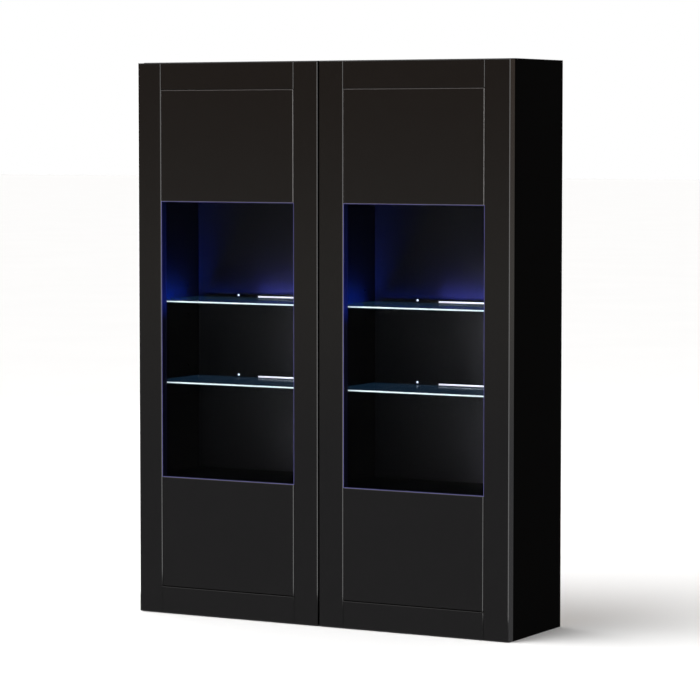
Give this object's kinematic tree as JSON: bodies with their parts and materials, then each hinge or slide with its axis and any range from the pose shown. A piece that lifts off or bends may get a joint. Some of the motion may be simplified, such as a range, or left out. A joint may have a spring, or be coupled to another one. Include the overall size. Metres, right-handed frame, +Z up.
{
  "type": "china cabinet",
  "caption": "Wall-hung china cabinet with framed high-gloss doors, glazed windows and lit glass shelves in two bays.",
  "frame": {"origin": "middle of the footprint at the underside of the cabinet", "axes": "+Z up, doors face -Y, +X to the viewer's right when facing the doors"},
  "size_m": [0.9, 0.25, 1.2],
  "materials": {
    "gloss_lacquer": "high-gloss black lacquer on MDF",
    "matt_black_board": "matt black melamine-faced chipboard",
    "black_hardboard": "black-faced hardboard, fine vertical grain",
    "window_glass": "clear float glass",
    "shelf_glass": "clear tempered glass with polished edges",
    "glazing_bead": "black extruded bead",
    "nickel_plated_steel": "nickel plated",
    "zinc_alloy": "die-cast",
    "beech": "fluted beech dowel",
    "pine_batten": "planed softwood",
    "led_diffuser": "opal diffuser",
    "led_spot": "frosted dome",
    "clip_plastic": "moulded, smoked",
    "black_plastic": "moulded ABS",
    "plunger_plastic": "moulded acetal",
    "bumper_rubber": "soft"
  },
  "bodies": {
    "carcass": {"bottom_panel": "matt_black_board", "cable_grommets": "black_plastic", "cam_bolts": "nickel_plated_steel", "cam_locks": "zinc_alloy", "door_bumpers": "bumper_rubber", "dowels": "beech", "hanging_battens": "pine_batten", "hinge_arms": "nickel_plated_steel", "hinge_mounting_plates": "nickel_plated_steel", "hinge_screws": "nickel_plated_steel", "latch_housings": "black_plastic", "led_clips": "clip_plastic", "led_driver": "black_plastic", "led_light_bars": "led_diffuser", "led_spots": "led_spot", "left_back_panel": "black_hardboard", "left_lower_board": "matt_black_board", "left_lower_glass_shelf": "shelf_glass", "left_partition_board": "matt_black_board", "left_side_panel": "matt_black_board", "left_upper_board": "matt_black_board", "left_upper_glass_shelf": "shelf_glass", "partition_bolts": "nickel_plated_steel", "right_back_panel": "black_hardboard", "right_lower_board": "matt_black_board", "right_lower_glass_shelf": "shelf_glass", "right_partition_board": "matt_black_board", "right_side_panel": "matt_black_board", "right_upper_board": "matt_black_board", "right_upper_glass_shelf": "shelf_glass", "shelf_pins": "nickel_plated_steel", "top_panel": "matt_black_board"},
    "left_door": {"left_door_hinge_stile": "gloss_lacquer", "left_door_meeting_stile": "gloss_lacquer", "left_door_top_rail": "gloss_lacquer", "left_door_bottom_rail": "gloss_lacquer", "left_door_upper_panel": "gloss_lacquer", "left_door_lower_panel": "gloss_lacquer", "left_door_window_pane": "window_glass", "left_door_glazing_beads": "glazing_bead", "left_door_frame_dowels": "beech", "left_door_hinge_cups": "nickel_plated_steel", "left_door_hinge_pins": "nickel_plated_steel", "left_door_cup_screws": "nickel_plated_steel", "left_door_strike_plate": "nickel_plated_steel"},
    "left_plunger": {"left_latch_plunger": "plunger_plastic"},
    "right_door": {"right_door_hinge_stile": "gloss_lacquer", "right_door_meeting_stile": "gloss_lacquer", "right_door_top_rail": "gloss_lacquer", "right_door_bottom_rail": "gloss_lacquer", "right_door_upper_panel": "gloss_lacquer", "right_door_lower_panel": "gloss_lacquer", "right_door_window_pane": "window_glass", "right_door_glazing_beads": "glazing_bead", "right_door_frame_dowels": "beech", "right_door_hinge_cups": "nickel_plated_steel", "right_door_hinge_pins": "nickel_plated_steel", "right_door_cup_screws": "nickel_plated_steel", "right_door_strike_plate": "nickel_plated_steel"},
    "right_plunger": {"right_latch_plunger": "plunger_plastic"}
  },
  "joints": [
    {"name": "left_door_hinge", "type": "hinge", "parent": "carcass", "child": "left_door", "pos_m": [-0.443, -0.111, 0.6], "axis": [0, 0, -1], "range_deg": [0, 105]},
    {"name": "right_door_hinge", "type": "hinge", "parent": "carcass", "child": "right_door", "pos_m": [0.443, -0.111, 0.6], "axis": [0, 0, 1], "range_deg": [0, 105]},
    {"name": "left_latch_slide", "type": "slide", "parent": "carcass", "child": "left_plunger", "axis": [0, -1, 0], "range_m": [0, 0.0141]},
    {"name": "right_latch_slide", "type": "slide", "parent": "carcass", "child": "right_plunger", "axis": [0, -1, 0], "range_m": [0, 0.0141]}
  ],
  "couplings": [
    {"joint": "left_latch_slide", "follows": "left_door_hinge", "m_per_rad": 0.007639},
    {"joint": "right_latch_slide", "follows": "right_door_hinge", "m_per_rad": 0.007639}
  ]
}
